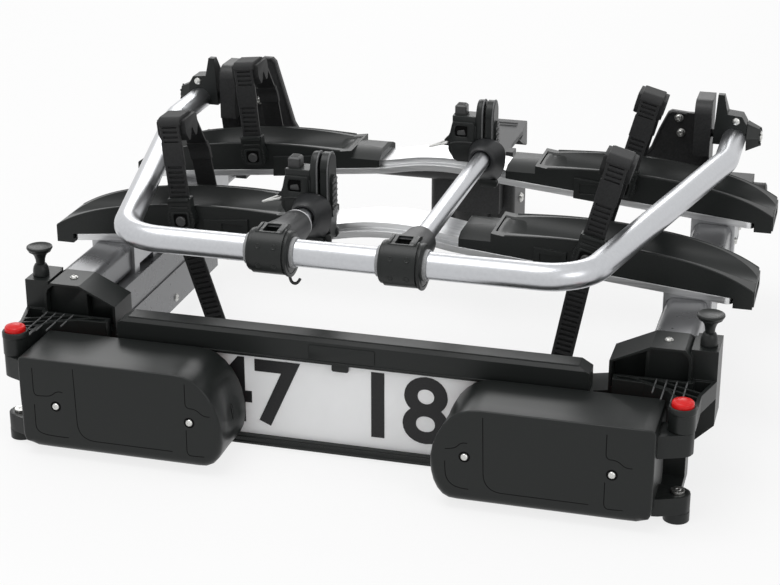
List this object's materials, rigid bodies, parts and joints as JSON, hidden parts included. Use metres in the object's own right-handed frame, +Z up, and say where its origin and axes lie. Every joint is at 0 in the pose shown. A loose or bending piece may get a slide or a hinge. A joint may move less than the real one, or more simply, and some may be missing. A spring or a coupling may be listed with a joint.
{
  "type": "towball bicycle rack",
  "caption": "Towball-mounted platform rack folded for storage: railed wheel trays with straps, folding U-frame with clamp arms, and a sliding lamp and number plate board.",
  "frame": {"origin": "centre of the towball", "axes": "+X to the right seen from behind the vehicle, -Y rearward to the lamps, +Z up"},
  "size_m": [0.846, 0.854, 0.3264],
  "materials": {
    "grey_tube": "satin dark grey paint on steel",
    "grey_casting": "mid grey moulded plastic",
    "black_metal": "satin black paint on steel",
    "black_casting": "satin black paint on a casting",
    "silver_rail": "plain extruded aluminium",
    "silver_tube": "anodised aluminium tube",
    "dark_plastic": "dark grey moulded plastic",
    "grey_plastic": "mid grey moulded plastic",
    "black_plastic": "black moulded plastic, fine texture",
    "strap_black": "soft black ladder strap",
    "wire": "plain steel",
    "plate_white": "smooth white",
    "red_plastic": "glossy red",
    "red_lens": "clear red lens, seen from outside as solid"
  },
  "bodies": {
    "chassis": {"side_members": "grey_tube", "lower_channels": "grey_tube", "rear_cross_tube": "black_metal", "rail_saddles": "grey_casting", "near_rail": "silver_rail", "far_rail": "silver_rail", "coupling_arm": "black_metal", "coupling_body": "black_casting", "hinge_towers": "black_casting"},
    "coupling_lever": {"coupling_lever": "grey_plastic"},
    "u_frame": {"u_frame": "silver_tube", "frame_tail_fittings": "dark_plastic"},
    "lamp_board": {"slide_tubes": "grey_tube", "end_bracket_left": "black_plastic", "end_bracket_right": "black_plastic", "plate_holder": "black_plastic", "number_plate": "plate_white", "lamp_pivots": "wire"},
    "hinge_knob_left": {"hinge_knob_left": "black_plastic"},
    "hinge_knob_right": {"hinge_knob_right": "black_plastic"},
    "short_liner": {"short_clamp_liner": "grey_plastic"},
    "short_arm": {"short_bar_clamp": "black_plastic", "short_arm_tube": "silver_tube"},
    "short_claw": {"short_claw_body": "black_plastic"},
    "short_jaw": {"short_claw_jaw": "black_plastic"},
    "short_button": {"short_claw_button": "dark_plastic"},
    "short_ring": {"short_claw_ring": "wire"},
    "long_liner": {"long_clamp_liner": "grey_plastic"},
    "long_arm": {"long_bar_clamp": "black_plastic", "long_arm_tube": "silver_tube"},
    "long_claw": {"long_claw_body": "black_plastic"},
    "long_jaw": {"long_claw_jaw": "black_plastic"},
    "long_button": {"long_claw_button": "dark_plastic"},
    "long_ring": {"long_claw_ring": "wire"},
    "lamp_left": {"lamp_housing_left": "black_plastic", "lamp_lens_left": "red_lens"},
    "release_button_left": {"release_button_left": "red_plastic"},
    "plunger_left": {"plunger_left": "black_plastic"},
    "tray_near_left": {"tray_near_left": "black_plastic", "strap_near_left": "strap_black", "buckle_near_left": "black_plastic", "strap_tail_left": "strap_black"},
    "buckle_button_near_left": {"buckle_button_near_left": "dark_plastic"},
    "tray_far_left": {"tray_far_left": "black_plastic", "strap_far_left": "strap_black", "buckle_far_left": "black_plastic"},
    "buckle_button_far_left": {"buckle_button_far_left": "dark_plastic"},
    "lamp_right": {"lamp_housing_right": "black_plastic", "lamp_lens_right": "red_lens"},
    "release_button_right": {"release_button_right": "red_plastic"},
    "plunger_right": {"plunger_right": "black_plastic"},
    "tray_near_right": {"tray_near_right": "black_plastic", "strap_near_right": "strap_black", "buckle_near_right": "black_plastic", "strap_tail_right": "strap_black"},
    "buckle_button_near_right": {"buckle_button_near_right": "dark_plastic"},
    "tray_far_right": {"tray_far_right": "black_plastic", "strap_far_right": "strap_black", "buckle_far_right": "black_plastic"},
    "buckle_button_far_right": {"buckle_button_far_right": "dark_plastic"}
  },
  "joints": [
    {"name": "coupling_lever_lift", "type": "hinge", "parent": "chassis", "child": "coupling_lever", "pos_m": [0, 0.008, 0.058], "axis": [1, 0, 0], "range_deg": [0, 75]},
    {"name": "frame_fold", "type": "hinge", "parent": "chassis", "child": "u_frame", "pos_m": [0, -0.12, 0.156], "axis": [-1, 0, 0], "range_deg": [0, 95]},
    {"name": "board_slide", "type": "slide", "parent": "chassis", "child": "lamp_board", "axis": [0, -1, 0], "range_m": [0, 0.12]},
    {"name": "hinge_knob_turn_left", "type": "hinge", "parent": "chassis", "child": "hinge_knob_left", "pos_m": [-0.38, -0.12, 0.156], "axis": [1, 0, 0], "range_deg": [0, 360]},
    {"name": "hinge_knob_turn_right", "type": "hinge", "parent": "chassis", "child": "hinge_knob_right", "pos_m": [0.38, -0.12, 0.156], "axis": [-1, 0, 0], "range_deg": [0, 360]},
    {"name": "short_clamp_slide", "type": "slide", "parent": "u_frame", "child": "short_liner", "axis": [1, 0, 0], "range_m": [-0.08, 0.03]},
    {"name": "short_arm_swing", "type": "hinge", "parent": "short_liner", "child": "short_arm", "pos_m": [-0.082, -0.66, 0.148], "axis": [1, 0, 0], "range_deg": [0, 180]},
    {"name": "short_claw_swivel", "type": "hinge", "parent": "short_arm", "child": "short_claw", "pos_m": [-0.082, -0.534, 0.148], "axis": [0, 1, 0], "range_deg": [-90, 90]},
    {"name": "short_jaw_open", "type": "hinge", "parent": "short_claw", "child": "short_jaw", "pos_m": [-0.065, -0.506, 0.113], "axis": [0, 1, 0], "range_deg": [0, 60]},
    {"name": "short_button_press", "type": "slide", "parent": "short_claw", "child": "short_button", "axis": [0, 0, -1], "range_m": [0, 0.004], "stiffness_N_per_m": 500, "springref_m": -0.003},
    {"name": "short_ring_swing", "type": "hinge", "parent": "short_claw", "child": "short_ring", "pos_m": [-0.121, -0.508, 0.157], "axis": [0, 1, 0], "range_deg": [-30, 60]},
    {"name": "long_clamp_slide", "type": "slide", "parent": "u_frame", "child": "long_liner", "axis": [1, 0, 0], "range_m": [-0.03, 0.08]},
    {"name": "long_arm_swing", "type": "hinge", "parent": "long_liner", "child": "long_arm", "pos_m": [0.066, -0.66, 0.148], "axis": [1, 0, 0], "range_deg": [0, 180]},
    {"name": "long_claw_swivel", "type": "hinge", "parent": "long_arm", "child": "long_claw", "pos_m": [0.066, -0.274, 0.148], "axis": [0, 1, 0], "range_deg": [-90, 90]},
    {"name": "long_jaw_open", "type": "hinge", "parent": "long_claw", "child": "long_jaw", "pos_m": [0.07, -0.246, 0.113], "axis": [0, 1, 0], "range_deg": [0, 60]},
    {"name": "long_button_press", "type": "slide", "parent": "long_claw", "child": "long_button", "axis": [0, 0, -1], "range_m": [0, 0.004], "stiffness_N_per_m": 500, "springref_m": -0.003},
    {"name": "long_ring_swing", "type": "hinge", "parent": "long_claw", "child": "long_ring", "pos_m": [0.014, -0.248, 0.157], "axis": [0, 1, 0], "range_deg": [-30, 60]},
    {"name": "lamp_fold_left", "type": "hinge", "parent": "lamp_board", "child": "lamp_left", "pos_m": [-0.375, -0.7036, -0.03], "axis": [0, 0, -1], "range_deg": [0, 180]},
    {"name": "release_press_left", "type": "slide", "parent": "lamp_board", "child": "release_button_left", "axis": [0, 0, -1], "range_m": [0, 0.004], "stiffness_N_per_m": 500, "springref_m": -0.003},
    {"name": "plunger_lift_left", "type": "slide", "parent": "lamp_board", "child": "plunger_left", "axis": [0, 0, 1], "range_m": [0, 0.008], "stiffness_N_per_m": 800, "springref_m": -0.004},
    {"name": "tray_slide_near_left", "type": "slide", "parent": "chassis", "child": "tray_near_left", "axis": [-0.9952, 0, -0.0975], "range_m": [0, 0.2], "deforming": ["strap_near_left", "strap_tail_left"]},
    {"name": "buckle_press_near_left", "type": "slide", "parent": "tray_near_left", "child": "buckle_button_near_left", "axis": [0, 1, 0], "range_m": [0, 0.0025], "stiffness_N_per_m": 400, "springref_m": -0.003},
    {"name": "tray_slide_far_left", "type": "slide", "parent": "chassis", "child": "tray_far_left", "axis": [-0.9952, 0, -0.0975], "range_m": [0, 0.2], "deforming": ["strap_far_left"]},
    {"name": "buckle_press_far_left", "type": "slide", "parent": "tray_far_left", "child": "buckle_button_far_left", "axis": [0, 1, 0], "range_m": [0, 0.0025], "stiffness_N_per_m": 400, "springref_m": -0.003},
    {"name": "lamp_fold_right", "type": "hinge", "parent": "lamp_board", "child": "lamp_right", "pos_m": [0.375, -0.7036, -0.03], "axis": [0, 0, 1], "range_deg": [0, 180]},
    {"name": "release_press_right", "type": "slide", "parent": "lamp_board", "child": "release_button_right", "axis": [0, 0, -1], "range_m": [0, 0.004], "stiffness_N_per_m": 500, "springref_m": -0.003},
    {"name": "plunger_lift_right", "type": "slide", "parent": "lamp_board", "child": "plunger_right", "axis": [0, 0, 1], "range_m": [0, 0.008], "stiffness_N_per_m": 800, "springref_m": -0.004},
    {"name": "tray_slide_near_right", "type": "slide", "parent": "chassis", "child": "tray_near_right", "axis": [0.9952, 0, -0.0975], "range_m": [0, 0.2], "deforming": ["strap_near_right", "strap_tail_right"]},
    {"name": "buckle_press_near_right", "type": "slide", "parent": "tray_near_right", "child": "buckle_button_near_right", "axis": [0, 1, 0], "range_m": [0, 0.0025], "stiffness_N_per_m": 400, "springref_m": -0.003},
    {"name": "tray_slide_far_right", "type": "slide", "parent": "chassis", "child": "tray_far_right", "axis": [0.9952, 0, -0.0975], "range_m": [0, 0.2], "deforming": ["strap_far_right"]},
    {"name": "buckle_press_far_right", "type": "slide", "parent": "tray_far_right", "child": "buckle_button_far_right", "axis": [0, 1, 0], "range_m": [0, 0.0025], "stiffness_N_per_m": 400, "springref_m": -0.003}
  ]
}
